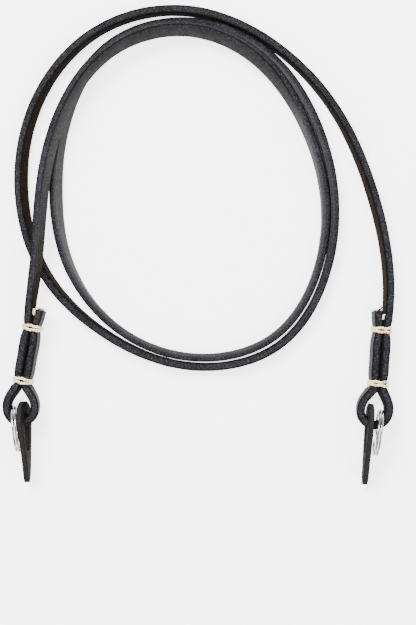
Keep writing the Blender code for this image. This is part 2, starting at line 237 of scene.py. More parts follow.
def lowest(section, lean):
    """How far the leaning section reaches below its middle."""
    angle = np.radians(lean)
    return -np.min(section[:, 1] * math.cos(angle) - section[:, 0] * math.sin(angle))


# %% The middle line, dense and evenly spaced
ROUTE_SAMPLES = 4000
LOOP_SPACING = 0.85 * MM


def strap_route():
    """Middle line in the coil's own frame, its lean and its share of thickness."""
    rows = list(reversed(fold_points(ENDS[0])))
    for index, (reach, lift, lean) in enumerate(COIL_ROWS):
        angle = math.radians(COIL_FIRST_ANGLE + index * COIL_ANGLE_STEP)
        radius = reach * COIL_RADIUS
        rows.append((-radius * math.cos(angle), radius * math.sin(angle), lift * STRAP_WIDTH, lean, 1.0))
    rows = np.array(rows + fold_points(ENDS[1]))
    knots = np.concatenate(([0.0], np.cumsum(np.hypot(*np.diff(rows[:, :2], axis=0).T))))
    at = np.linspace(0, knots[-1], ROUTE_SAMPLES)
    x, y = (spline(knots, rows[:, k], at) for k in (0, 1))
    lift, lean, thickness = (gentle(knots, rows[:, k], at) for k in (2, 3, 4))
    section = coarse_section()
    z = lift + np.array([lowest(section, angle) for angle in lean])
    return np.column_stack((x, y, z)), lean, thickness


def evenly(route, *values):
    """The line and what goes with it, read again at even steps along its length."""
    travelled = np.concatenate(([0.0], np.cumsum(np.linalg.norm(np.diff(route, axis=0), axis=1))))
    at = np.linspace(0, travelled[-1], round(travelled[-1] / LOOP_SPACING) + 1)
    even = np.column_stack([np.interp(at, travelled, route[:, k]) for k in range(3)])
    return at, even, *(np.interp(at, travelled, value) for value in values)


def frames(line, lean):
    """Unit vectors along the line, outward and up of a leaning section."""
    along = np.gradient(line, axis=0)
    along /= np.linalg.norm(along, axis=1, keepdims=True)
    outward = np.cross((0.0, 0.0, 1.0), along)
    outward /= np.linalg.norm(outward, axis=1, keepdims=True)
    up = np.cross(along, outward)
    turn = np.radians(lean)[:, None]
    return along, outward * np.cos(turn) - up * np.sin(turn), up * np.cos(turn) + outward * np.sin(turn)


TRAVELLED, LINE, LEAN, PRESSED = evenly(*strap_route())

# %% [markdown]
# The table's centre is the middle of the coil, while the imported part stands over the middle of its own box.
# The step between the two is found from the strap's solid: the box of the line's own section, laid on the
# box of the solid.

# %% The step from the coil's centre to the part's frame
_, OUTWARD, UP = frames(LINE, LEAN)
rim = np.concatenate([LINE + OUTWARD * a * PRESSED[:, None] + UP * b for a, b in coarse_section()])
solid_low, solid_high = (np.array(corner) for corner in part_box("strap"))
SHIFT = (solid_low + solid_high) / 2 - (rim.min(axis=0) + rim.max(axis=0)) / 2
SHIFT[2] = 0.0
LINE += SHIFT
print("step, mm:", np.round(SHIFT / MM, 2))
print("box against the solid, mm:", np.round((rim.max(axis=0) - rim.min(axis=0) - solid_high + solid_low) / MM, 2))

# %% [markdown]
# ## Camera
#
# The strap is seen from straight above, as flat work on a table is, so the camera looks down with no tilt.
# The frame is a portrait of 416 by 625 pixels, and on the floor one pixel is about a third of a millimetre.
# From 0.72 m up, the sides of the standing strip show a little towards the edges of the frame.

# %% The camera
IMAGE_WIDTH = 416
IMAGE_HEIGHT = 625
PIXEL = 0.335 * MM
CAMERA_HEIGHT = 720 * MM
COIL_PIXEL = Vector((190.0, 190.0))
SENSOR = 36.0
NEAREST = 0.01
FURTHEST = 20

coil_from_axis = Vector((COIL_PIXEL.x - IMAGE_WIDTH / 2, IMAGE_HEIGHT / 2 - COIL_PIXEL.y)) * PIXEL
eye = bpy.data.cameras.new("camera")
eye.sensor_fit = "VERTICAL"
eye.sensor_height = SENSOR
eye.lens = SENSOR * CAMERA_HEIGHT / (IMAGE_HEIGHT * PIXEL)
eye.clip_start = NEAREST
eye.clip_end = FURTHEST
camera = bpy.data.objects.new("camera", eye)
bpy.context.collection.objects.link(camera)
camera.location = (SHIFT[0] - coil_from_axis.x, SHIFT[1] - coil_from_axis.y, CAMERA_HEIGHT)
bpy.context.scene.camera = camera
print("lens", round(eye.lens, 1), "camera", [round(v, 4) for v in camera.location])


# %% [markdown]
# ## A short way to write materials
#
# A material is a sum: grain plus blotches, times wear. Writing it with single nodes hides that sum, so a
# small class wraps a socket and lets Python's own signs add the Math nodes. One method makes every other
# node. What is the same all over a surface is set on the shader's own socket.

# %% Sockets that can be added and multiplied
class Value:
    """A socket that takes part in sums."""

    def __init__(self, sheet, socket):
        self.sheet = sheet
        self.socket = socket

    def _sum(self, operation, first, second):
        return self.sheet.node("ShaderNodeMath", {"operation": operation}, {0: first, 1: second})

    def __add__(self, other):
        return self._sum("ADD", self, other)

    def __radd__(self, other):
        return self._sum("ADD", other, self)

    def __sub__(self, other):
        return self._sum("SUBTRACT", self, other)

    def __rsub__(self, other):
        return self._sum("SUBTRACT", other, self)

    def __mul__(self, other):
        return self._sum("MULTIPLY", self, other)

    def __rmul__(self, other):
        return self._sum("MULTIPLY", other, self)


# %% [markdown]
# A sheet holds the nodes of one material. Its patterns are read on Object coordinates, which stay with the
# piece and are in metres, so that a grain of 0.4 mm is written as 0.4 mm. The ramps, mixes and steps that
# every finish here needs are short methods over the one that makes a node.


# %% A sheet of nodes for one material
class Sheet:
    """One material's nodes."""

    def __init__(self, name):
        self.material = bpy.data.materials.new(name)
        self.material.use_nodes = True
        self.tree = self.material.node_tree
        self.shader = self.tree.nodes["Principled BSDF"]
        self.place = self.node("ShaderNodeTexCoord", {}, {}, "Object")

    def node(self, kind, settings, inputs, output=0):
        """Makes one node: its settings first, then the values or links of its sockets."""
        made = self.tree.nodes.new(kind)
        stops = settings.pop("stops", None)
        for key, value in settings.items():
            setattr(made, key, value)
        if stops:
            ramp = made.color_ramp
            while len(ramp.elements) < len(stops):
                ramp.elements.new(1.0)
            for element, (position, colour) in zip(ramp.elements, stops):
                element.position = position
                element.color = (*colour, 1)
        for key, value in inputs.items():
            self.put(made.inputs[key], value)
        return Value(self, made.outputs[output])

    def put(self, socket, value):
        """Links a value to a socket, or sets the socket to a number or a colour."""
        if isinstance(value, Value):
            self.tree.links.new(value.socket, socket)
        elif isinstance(value, tuple) and len(value) == 3 and socket.type == "RGBA":
            socket.default_value = (*value, 1)
        else:
            socket.default_value = value

    def set(self, **values):
        """Sets or links the shader's sockets, written with _ for a space."""
        for key, value in values.items():
            self.put(self.shader.inputs[key.replace("_", " ")], value)

    def noise(self, size, detail, roughness=0.55):
        """Noise with lumps of about this size in metres, from 0 to 1."""
        return self.node("ShaderNodeTexNoise", {"noise_dimensions": "3D"},
                         {"Vector": self.place, "Scale": 1 / size, "Detail": detail, "Roughness": roughness})

    def cells(self, size):
        """The distance to the nearest of points that are about this far apart."""
        return self.node("ShaderNodeTexVoronoi", {"feature": "F1"}, {"Vector": self.place, "Scale": 1 / size})

    def attribute(self, name):
        return self.node("ShaderNodeAttribute", {"attribute_name": name}, {}, "Fac")

    def ramp(self, value, *stops):
        return self.node("ShaderNodeValToRGB", {"stops": stops}, {"Fac": value})

    def between(self, value, low, high):
        """0 below low, 1 above high and a smooth step between them."""
        return self.node("ShaderNodeMapRange", {"interpolation_type": "SMOOTHSTEP"},
                         {"Value": value, "From Min": low, "From Max": high})

    def mix(self, share, first, second):
        return self.node("ShaderNodeMix", {"data_type": "RGBA"}, {0: share, 6: first, 7: second}, 2)

    def bump(self, height, depth, strength):
        return self.node("ShaderNodeBump", {}, {"Height": height, "Distance": depth, "Strength": strength})


# %% [markdown]
# ## Leather of the strip
#
# The strip is cut from dyed bridle leather. Looking down on it we see mostly its cut edge: nearly black, dyed
# and rubbed, with the fibre ends as a fine pale speckle. Its broad sides are smoother and catch the light as a
# plain grey. A picture could be wrapped round it, but over a metre of strip it would blur or repeat, so noise
# draws the grain, and six attributes on the mesh say where each kind of surface is:
#
# - edge: 1 on the cut edge and 0 on the broad sides
# - inner: 1 on the side that faces the middle of the coil
# - cut: 1 at the two cut ends
# - flesh: 1 along the stretches where the inner side shows the brown flesh of the hide
# - nap: 1 where the inner side leans up and is as rough as the edge
# - middle: 1 along the middle of the edge and 0 at its corners

# %% The leather's marks and grain
leather = Sheet("strap_leather")
on_edge = leather.attribute("edge")
on_inner = leather.attribute("inner")
on_cut = leather.attribute("cut")
on_flesh = leather.attribute("flesh")
on_middle = leather.attribute("middle")
on_nap = leather.attribute("nap")
fibre = leather.noise(0.36 * MM, 2, 0.75)
speck = leather.between(leather.noise(0.46 * MM, 1, 0.5), 0.54, 0.70)
pit = leather.between(leather.cells(0.75 * MM), 0.05, 0.40)
blotch = leather.noise(7 * MM, 3, 0.6)
side_grain = leather.noise(0.6 * MM, 3, 0.6)
streak = leather.noise(2.2 * MM, 2, 0.6)
# where the painted highlights go: the inner side, away from the flesh and nap stretches
sheen_mask = on_inner * (1 - on_flesh) * (1 - on_nap)
print("nodes for marks and grain:", len(leather.tree.nodes))

# %% [markdown]
# The edge runs from black between the fibres to grey on them, with pale specks. Its corners are rubbed with
# wax and nearly black. The exception is the inner side away from the flesh and nap stretches: there a painted
# highlight greys the inner half of the edge, and its corner is a painted pale highlight line.

# %% The cut edge
DYED_BLACK = (0.0026, 0.0026, 0.0031)
DYED_DARK = (0.0095, 0.0095, 0.0114)
DYED_GREY = (0.0340, 0.0340, 0.0385)
PALE_SPECK = (0.072, 0.072, 0.078)
# grey of the painted highlight on the inner half of the edge
SHEEN_GREY = (0.078, 0.077, 0.082)
WAXED_BLACK = (0.0012, 0.0012, 0.0014)
# grey of the painted highlight line along the inner corner
CORNER_HIGHLIGHT = (0.085, 0.083, 0.086)
dyed_edge = leather.ramp(fibre * 0.8 + blotch * 0.2, (0.36, DYED_BLACK), (0.50, DYED_DARK), (0.66, DYED_GREY))
speckled_edge = leather.mix(speck * 0.50, dyed_edge, PALE_SPECK)
# painted highlight: the inner half of the edge is lightened towards grey
sheened_edge = leather.mix(sheen_mask * on_edge * 0.30, speckled_edge, SHEEN_GREY)
rubbed_corner = 1 - leather.between(on_middle, 0.12, 0.62)
# the corners are darkened, except where the painted highlight lies
waxed_edge = leather.mix(rubbed_corner * (1 - sheen_mask) * 0.85, sheened_edge, WAXED_BLACK)
# painted highlight: a pale line along the inner corner of the edge
corner_highlight = leather.between(on_edge, 0.10, 0.45) * (1 - leather.between(on_edge, 0.45, 0.95))
edge_colour = leather.mix(corner_highlight * sheen_mask * 0.8, waxed_edge, CORNER_HIGHLIGHT)
print("nodes after the edge:", len(leather.tree.nodes))

# %% [markdown]
# The outer side is smooth and plain. The inner side is worn grey where it has rubbed, brown where the flesh
# of the hide shows, and as dark and rough as the edge where it leans up.

# %% The broad sides
outer_colour = leather.ramp(side_grain * 0.7 + streak * 0.3,
                            (0.34, (0.010, 0.010, 0.011)), (0.66, (0.030, 0.030, 0.031)))
flesh_colour = leather.ramp(side_grain * 0.7 + streak * 0.3,
                            (0.34, (0.0050, 0.0034, 0.0020)), (0.66, (0.0165, 0.0112, 0.0068)))
worn_colour = leather.ramp(side_grain * 0.6 + streak * 0.4,
                           (0.34, (0.013, 0.0125, 0.012)), (0.66, (0.042, 0.040, 0.039)))
napped_colour = leather.mix(on_nap * 0.85, worn_colour, speckled_edge)
inner_colour = leather.mix(on_flesh, napped_colour, flesh_colour)
side_colour = leather.mix(on_inner, outer_colour, inner_colour)
print("nodes after the sides:", len(leather.tree.nodes))

# %% [markdown]
# The cut ends are raw: the dye went into the surface alone, so tan fibre shows in them. All the colours are
# now laid over each other. The leather is dull, with almost no mirror light: on a white table a higher
# specular level would turn its standing sides grey.

# %% The whole leather
GRAIN_DEPTH = 0.12 * MM
cut_colour = leather.ramp(leather.noise(0.30 * MM, 2, 0.7),
                          (0.35, (0.030, 0.020, 0.013)), (0.65, (0.28, 0.19, 0.12)))
sides_and_edge = leather.mix(leather.between(on_edge, 0.12, 0.45), side_colour, edge_colour)
grain_height = fibre * 0.6 + pit * 0.4 + side_grain * 0.3
dullness = 0.62 + on_edge * 0.14 + on_inner * on_flesh * 0.35 + (fibre - 0.5) * 0.3
leather.set(Base_Color=leather.mix(on_cut, sides_and_edge, cut_colour), Roughness=dullness,
            Normal=leather.bump(grain_height, GRAIN_DEPTH, 0.9))
leather.set(Specular_IOR_Level=0.04)
print("material", leather.material.name, "with", len(leather.tree.nodes), "nodes")

# %% [markdown]
# ## The strip as a mesh
#
# A tube with a profile could follow a curve, but the strip leans outwards by a different angle at each place
# and is pressed thinner where the thread holds it, so its skin is made loop by loop along the line. The
# profile is the strip's section with rounded corners and a slightly crowned edge. Small slow swellings keep
# it from looking like extruded plastic.

# %% The section's points
CORNER_POINTS = 5
EDGE_POINTS = 4
SIDE_POINTS = 4
CROWN = 0.04 * MM
CORNER_ROUND = 0.27 * MM
FULLNESS = 1.05


def fine_section():
    """(outward, up, edge) of the strip's section, anticlockwise from the upper outer corner."""
    side = FULLNESS * STRAP_THICKNESS / 2
    top = STRAP_WIDTH / 2
    points = []
    for quarter in range(4):
        right = (1, -1, -1, 1)[quarter]
        high = (1, 1, -1, -1)[quarter]
        for k in range(CORNER_POINTS):
            turn = math.radians(90 * (quarter + k / (CORNER_POINTS - 1)))
            a = right * (side - CORNER_ROUND) + CORNER_ROUND * math.cos(turn)
            b = high * (top - CORNER_ROUND - CROWN) + CORNER_ROUND * math.sin(turn)
            share = k / (CORNER_POINTS - 1)
            edge = share if quarter in (0, 2) else 1 - share
            points.append((a, b, edge))
        if quarter in (0, 2):
            for k in range(1, EDGE_POINTS):
                a = right * (side - CORNER_ROUND) * (1 - 2 * k / EDGE_POINTS)
                points.append((a, high * (top - CROWN * (a / (side - CORNER_ROUND)) ** 2), 1.0))
        else:
            for k in range(1, SIDE_POINTS):
                b = high * (top - CORNER_ROUND - CROWN) * (1 - 2 * k / SIDE_POINTS)
                points.append((right * side, b, 0.0))
    return np.array(points)


def slow(length, period, seed):
    """A slow swelling along the strip, from -1 to 1: three waves that never fall in step."""
    angle = length / period * 2 * math.pi
    return (np.sin(angle + seed) + 0.6 * np.sin(angle * 2.17 + 2 * seed) + 0.4 * np.sin(angle * 4.9 + 3 * seed)) / 2


SECTION = fine_section()
print("section:", len(SECTION), "points")

# %% [markdown]
# The skin is one loop of points for each step along the line, joined by four-sided faces, with a fan of
# triangles over each cut end. The strip swells and narrows slowly, and each line of points along it has its
# own faint roughness.

# %% The strip's skin
SWELL = (0.022, 23 * MM, 1.0)
HEIGHT_LOSS = (0.006, 31 * MM, 4.0)
ROUGHNESS_DEPTH = 0.022 * MM
ROUGHNESS_PERIOD = 3.1
ROUGHNESS_STEP = 0.37
_, OUTWARD, UP = frames(LINE, LEAN)
swell = 1 + SWELL[0] * slow(TRAVELLED, *SWELL[1:])
tall = 1 - HEIGHT_LOSS[0] * (1 + slow(TRAVELLED, *HEIGHT_LOSS[1:]))
lines = []
for k, (a, b, _) in enumerate(SECTION):
    rough = ROUGHNESS_DEPTH * slow(TRAVELLED, (ROUGHNESS_PERIOD + ROUGHNESS_STEP * k) * MM, k)
    reach = (a * swell * PRESSED) + rough * np.sign(a)
    lines.append(LINE + OUTWARD * reach[:, None] + UP * (b * tall)[:, None])
points = np.stack(lines, axis=1)
loops, around = points.shape[:2]
count = loops * around
faces = []
for i in range(loops - 1):
    for k in range(around):
        m = (k + 1) % around
        faces.append((i * around + k, (i + 1) * around + k, (i + 1) * around + m, i * around + m))
for k in range(around):
    faces.append((count, k, (k + 1) % around))
for k in range(around):
    faces.append((count + 1, count - around + (k + 1) % around, count - around + k))
cap_middles = np.stack((points[0].mean(axis=0), points[-1].mean(axis=0)))
mesh = bpy.data.meshes.new("leather_strip")
mesh.from_pydata([tuple(p) for p in np.concatenate((points.reshape(-1, 3), cap_middles))], [], faces)
print("skin:", loops, "loops of", around, "points")

# %% [markdown]
# The marks for the material are worked out from each point's place in the section and along the strip. They
# could be painted by hand, but numbers are easier to change. The nap shows along one stretch of the inner
# side, where it leans up, and the brown flesh near the first cut end and along the last four tenths.

# %% The marks on the skin
NAP_LEANS = (12, 30)
NAP_PLACES = (0.08, 0.12, 0.24, 0.30)
NAP_HEIGHTS = (-0.25, 0.25)
FLESH_PLACES = (0.0, 0.085, 0.115, 0.56, 0.66)
FLESH_SHARES = (1.0, 1.0, 0.0, 0.0, 1.0)
height = np.interp(SECTION[:, 1] / STRAP_WIDTH, NAP_HEIGHTS, (0.0, 1.0)) * (SECTION[:, 0] < 0)
nap = np.interp(LEAN, NAP_LEANS, (0.0, 1.0)) * np.interp(TRAVELLED, NAP_PLACES, (0.0, 1.0, 1.0, 0.0))
middle = 1 - np.abs(SECTION[:, 0]) / SECTION[:, 0].max()
# the values on the skin, and the one value at the middles of the two cut ends
marks = {
    "edge": (np.tile(SECTION[:, 2], loops), 1.0),
    "inner": (np.tile(SECTION[:, 0] < 0, loops), 0.0),
    "cut": (np.zeros(count), 1.0),
    "nap": (np.outer(nap, height).ravel(), 0.0),
    "middle": (np.tile(middle, loops), 1.0),
    "flesh": (np.repeat(np.interp(TRAVELLED, FLESH_PLACES, FLESH_SHARES), around), 1.0),
}
for name, (on_skin, on_cap) in marks.items():
    value = np.concatenate((on_skin, (on_cap, on_cap))).astype(np.float32)
    mesh.attributes.new(name, "FLOAT", "POINT").data.foreach_set("value", value)
print("marks:", sorted(marks))

# %% [markdown]
# The skin becomes an object, its normals are turned outwards, and it is shaded smooth, with a crease kept at
# the cut ends alone. It rides on the part's one body and stands in for the solid strip.

# %% The strip's finish
STRIP_CREASE = 50
mesh.materials.append(leather.material)
strip = bpy.data.objects.new("leather_strip", mesh)
bpy.context.collection.objects.link(strip)
bpy.ops.object.select_all(action="DESELECT")
strip.select_set(True)
bpy.context.view_layer.objects.active = strip
bpy.ops.object.mode_set(mode="EDIT")
bpy.ops.mesh.select_all(action="SELECT")
bpy.ops.mesh.normals_make_consistent(inside=False)
bpy.ops.object.mode_set(mode="OBJECT")
bpy.ops.object.shade_smooth_by_angle(angle=math.radians(STRIP_CREASE))
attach(strip, "root")
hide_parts("strap")
print("strip:", len(mesh.polygons), "faces")

# %% [markdown]
# ## Thread bindings
#
# Each folded end is held by waxed linen thread, wound twice round both legs and pulled tight. The thread is
# two plies twisted together, so it reads as a small rope and not as a smooth wire. A ply is a thin curve with
# a round bevel that winds about the thread's own path, and is then made a mesh. The path goes twice round
# the legs: side by side on top, with a small gap between the wraps, and crossing underneath.

# %% Tubes and joined pieces
def select(*items):
    """Selects these pieces alone and makes the first one active."""
    bpy.ops.object.select_all(action="DESELECT")
    for item in items:
        item.select_set(True)
    bpy.context.view_layer.objects.active = items[0]


def tube(name, path, radius, closed=False, taper=None):
    """A round tube along a path of points, as a mesh."""
    curve = bpy.data.curves.new(name, "CURVE")
    curve.dimensions = "3D"
    curve.bevel_depth = radius
    curve.bevel_resolution = 2
    curve.use_fill_caps = not closed
    run = curve.splines.new("POLY")
    run.points.add(len(path) - 1)
    for index, (point, place) in enumerate(zip(run.points, path)):
        point.co = (*place, 1)
        point.radius = 1.0 if taper is None else taper[index]
    run.use_cyclic_u = closed
    made = bpy.data.objects.new(name, curve)
    bpy.context.collection.objects.link(made)
    select(made)
    bpy.ops.object.convert(target="MESH")
    bpy.ops.object.shade_smooth()
    return made


def join(name, items):
    """Makes one piece of several, under a new name."""
    select(*items)
    if len(items) > 1:
        bpy.ops.object.join()
    items[0].name = name
    items[0].data.name = name
    return items[0]


# %% [markdown]
# A twist is made by carrying each ply round the path at a fixed distance, one full turn for every two
# millimetres or so. The second ply is half a turn behind the first, so that they lie in each other's hollows.

# %% Two plies in a twist
THREAD_DIAMETER = 0.98 * MM
PLY_RADIUS = 0.28 * MM
PLY_OFFSET = 0.21 * MM
PLY_PITCH = 2.1 * MM
PLY_STEP = 0.16 * MM
SLANTED = (0.31, 0.77, 0.21)


def twisted(name, path, closed=False):
    """Two plies of thread twisted about a path."""
    path = np.array(path)
    if closed:
        path = np.vstack((path, path[:1]))
    travelled = np.concatenate(([0.0], np.cumsum(np.linalg.norm(np.diff(path, axis=0), axis=1))))
    count = round(travelled[-1] / PLY_STEP)
    at = np.linspace(0, travelled[-1], count, endpoint=not closed)
    line = np.column_stack([np.interp(at, travelled, path[:, k]) for k in range(3)])
    along = np.roll(line, -1, axis=0) - np.roll(line, 1, axis=0) if closed else np.gradient(line, axis=0)
    along /= np.linalg.norm(along, axis=1, keepdims=True)
    side = np.cross(along, SLANTED)
    side /= np.linalg.norm(side, axis=1, keepdims=True)
    across = np.cross(along, side)
    turns = max(1, round(travelled[-1] / PLY_PITCH))
    plies = []
    for ply in (0, 1):
        turn = (at / travelled[-1] * turns + ply / 2) * 2 * math.pi
        offset = PLY_OFFSET * (side * np.cos(turn)[:, None] + across * np.sin(turn)[:, None])
        plies.append(tube(f"{name}_ply", line + offset, PLY_RADIUS, closed))
    return join(name, plies)


# %% [markdown]
# The wraps follow a rounded rectangle that fits closely round the two pressed legs. Its frame leans with the
# legs, as the strip's own loops do. The two wraps change places under the legs, where one of them dips below
# the other, and on top they bulge a little, since thread wound by hand is never quite parallel.

# %% The path of the wraps
WRAP_CORNER = 1.0 * MM
WRAP_APART = 0.45 * MM
WRAP_BULGE = 0.13 * MM
WRAP_WANDER = 0.10 * MM
WRAP_PRESS = 0.06 * MM
WRAP_POINTS = 160
CROSSING_START = 0.63
CROSSING_RUN = 0.24
CROSSING_DROP = 0.45 * MM


def leg_frame(end, share):
    """Middle between the two legs at a share of the way between the bindings, with axes."""
    down, out = plan_axes(end["legs"], end["sign"])
    upper, lower = (lift * STRAP_WIDTH for lift in end["lifts"])
    middle = end_place(end) + down * BINDING_SPACING * share + Vector(SHIFT)
    middle.z = upper + (lower - upper) * share + lowest(coarse_section(), LEG_LEAN)
    along = (down * BINDING_SPACING + Vector((0, 0, lower - upper))).normalized()
    up = (Vector((0, 0, 1)) - along * along.z).normalized()
    lean = math.radians(LEG_LEAN)
    return (middle, along, out * math.cos(lean) - up * math.sin(lean),
            up * math.cos(lean) + out * math.sin(lean))


def rounded_rectangle(half, top, corner, share):
    """A point on a rounded rectangle, share 0 at the middle of the right side, anticlockwise."""
    flat = (2 * (top - corner), 2 * (half - corner)) * 2
    bend = corner * math.pi / 2
    total = sum(flat) + 4 * bend
    left = (share % 1.0) * total + flat[0] / 2
    for quarter in range(5):
        run = flat[quarter % 4]
        turn = math.radians(90 * quarter)
        spoke = (math.cos(turn), math.sin(turn))
        reach = (half, top)[quarter % 2]
        if left <= run:
            along = left - run / 2
            return spoke[0] * reach - spoke[1] * along, spoke[1] * reach + spoke[0] * along
        left -= run
        if left <= bend:
            angle = turn + left / corner
            right = 1 if quarter % 4 in (0, 3) else -1
            high = 1 if quarter % 4 in (0, 1) else -1
            return (right * (half - corner) + corner * math.cos(angle),
                    high * (top - corner) + corner * math.sin(angle))
        left -= bend
    return half, 0.0


def wrap_path(end, share, seed):
    """Two turns of thread round both legs, crossing underneath."""
    middle, along, outward, up = leg_frame(end, share)
    reach = THREAD_DIAMETER / 2 - WRAP_PRESS
    spacing = leg_spacing(BOUND_THICKNESS)
    lean = math.radians(LEG_LEAN)
    half = (spacing * math.cos(lean) + STRAP_THICKNESS * BOUND_THICKNESS) / 2 + reach
    top = (spacing * math.sin(lean) + STRAP_WIDTH) / 2 + reach
    path = []
    for wrap, sign in enumerate((-1, 1)):
        for k in range(WRAP_POINTS):
            share_round = k / WRAP_POINTS
            a, b = rounded_rectangle(half, top, WRAP_CORNER, share_round)
            crossing = min(max((share_round - CROSSING_START) / CROSSING_RUN, 0.0), 1.0) * math.pi
            above = max(0.0, b / top) ** 4 * (1 + math.sin(5 * a / half + seed))
            apart = sign * (WRAP_APART * math.cos(crossing) + WRAP_BULGE * above)
            wander = WRAP_WANDER * math.sin(4 * math.pi * share_round + seed + 1.7 * wrap)
            drop = CROSSING_DROP * math.sin(crossing) * wrap
            path.append(middle + outward * a + up * (b - drop) + along * (apart + wander))
    return path


# %% [markdown]
# Linen is cream where the wax has rubbed off and tan where it is thick. The twist itself is in the mesh, so
# the material only adds the fine fibres and the change of colour.

# %% The linen
linen = Sheet("linen_thread")
strand = linen.noise(0.12 * MM, 2, 0.6)
waxed = linen.between(linen.noise(1.7 * MM, 2, 0.5), 0.42, 0.72)
wax_colour = linen.mix(waxed, (0.98, 0.87, 0.57), (0.70, 0.44, 0.19))
linen_colour = linen.mix(linen.between(strand, 0.52, 0.75) * 0.3, wax_colour, (0.36, 0.24, 0.13))
linen.set(Base_Color=linen_colour, Roughness=0.72 - waxed * 0.2, Normal=linen.bump(strand, 0.05 * MM, 0.9))

# %% [markdown]
# The upper binding's thread ends in a short tail. It runs hidden in the notch between the lead and the cut
# end, comes up at its far end, and shows there as a short bent tip. The tail is a twist along its own path,
# joined to the wraps, so that each binding is one piece as its solid is.

# %% The bindings with their tails
TAILS = {"left": 5.4 * MM, "right": 4.3 * MM}
TAIL_START = 0.4 * MM
TAIL_DEPTH = 2.3 * MM
TAIL_RISE = 0.10 * MM
TAIL_SWAY = 0.28 * MM
TAIL_STEPS = 21
TIP_RADIUS = 0.30 * MM
TIP_TURN = 0.6 * math.pi
TIP_STEPS = 7


def tail_path(end):
    """From under the upper binding along the notch, up to the leather's top and into a short bent tip."""
    middle, along, outward, up = leg_frame(end, 0.0)
    top = middle + up * (STRAP_WIDTH / 2)
    path = []
    for k in range(TAIL_STEPS + 1):
        share = k / TAIL_STEPS
        sway = TAIL_SWAY * math.sin(5 * share)
        height = -TAIL_DEPTH + (TAIL_DEPTH + TAIL_RISE) * min(1.0, max(0.0, 6 * share - 4))
        path.append(top - along * (TAIL_START + TAILS[end["side"]] * share) + outward * sway + up * height)
    for k in range(1, TIP_STEPS + 1):
        turn = k / TIP_STEPS * TIP_TURN
        bend = outward * TIP_RADIUS * (1 - math.cos(turn)) - along * TIP_RADIUS * math.sin(turn)
        path.append(path[TAIL_STEPS] + bend)
    return path


for number, end in enumerate(ENDS):
    for place, share in (("upper", 0.0), ("lower", 1.0)):
        name = f"thread_{place}_{end['side']}"
        seed = 1.3 + 2.1 * number + 0.9 * share
        pieces = [twisted(name, wrap_path(end, share, seed), closed=True)]
        if place == "upper":
            pieces.append(twisted(name + "_tail", tail_path(end)))
        binding = join(name, pieces)
        binding.data.materials.clear()
        binding.data.materials.append(linen.material)
        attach(binding, "root")
        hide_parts(f"binding_{place}_{end['side']}")
        print(name, len(binding.data.polygons), "faces")

# %% [markdown]
# ## Split rings
#
# A split ring is one flat wire wound twice round and pressed together, with a short step where the first
# coil passes into the second. A small rectangle with rounded corners is spun through nearly two turns, and
# each loop of its skin is then moved sideways by how far round it is. The two cut ends are thinned, so that
# a lug or another ring can be worked in.

# %% Ring sizes
RING_DIAMETER = 15.5 * MM
RING_WIRE_RADIAL = 1.1 * MM
RING_WIRE_FLAT = 0.70 * MM
RING_COIL_GAP = 0.20 * MM
RING_THICKNESS = 1.62 * MM
RING_SEAT_GAP = 0.7 * MM
EYE_SIDE_PLAY = 0.4 * MM
RING_OUTBOARD = EYE_INNER_RADIUS - RING_THICKNESS / 2 - EYE_SIDE_PLAY
RING_HEIGHT = RING_DIAMETER / 2
print("ring:", round(RING_DIAMETER / MM, 1), "mm across,", round(RING_THICKNESS / MM, 2), "mm thick")

# %% [markdown]
# A ring hangs in its eye and stands on its rim. Its place follows from the eye's size, so that its wire stays
# a fixed gap away from the leather that it runs through.


# %% Where a ring stands
def ring_frame(end):
    """The ring's centre and its axes down the fold and across it."""
    eye_at, eye_down, eye_out = eye_centre(end)
    down, across = plan_axes(end["ring_turn"], end["sign"])
    hole = RING_DIAMETER / 2 - RING_WIRE_RADIAL
    strap_reach = STRAP_WIDTH / 2 + abs(RING_HEIGHT - EYE_LIFT - STRAP_WIDTH / 2)
    edge = RING_OUTBOARD + RING_THICKNESS / 2
    seat = math.sqrt(EYE_INNER_RADIUS ** 2 - edge ** 2) - RING_SEAT_GAP
    centre = eye_at + eye_out * RING_OUTBOARD + eye_down * seat + down * math.sqrt(hole ** 2 - strap_reach ** 2)
    return Vector((centre.x + SHIFT[0], centre.y + SHIFT[1], RING_HEIGHT)), down, across


def place_mesh(item, origin, right, high, forward):
    """Moves a finished mesh from its own axes into the part's frame."""
    turn = Matrix((right, high, forward)).transposed().to_4x4()
    item.data.transform(Matrix.Translation(origin) @ turn)
    if turn.determinant() < 0:
        item.data.flip_normals()


# %% [markdown]
# The wire's section is a plane whose corners are bevelled. It is spun through nearly two turns, which leaves
# both coils in one plane, and the loops are then moved apart, with the step where one coil becomes the next.

# %% One split ring
RING_CROSSING_ANGLE = 50
RING_END_ANGLE = 3
RING_STEPS = 332
RING_CORNER = 0.24 * MM
RING_CREASE = 40
# share at the wire's cut end, what is gained further on, and the degrees that it takes
RING_END_FLAT = (0.45, 0.55, 12)
RING_END_NARROW = (0.7, 0.3, 5)


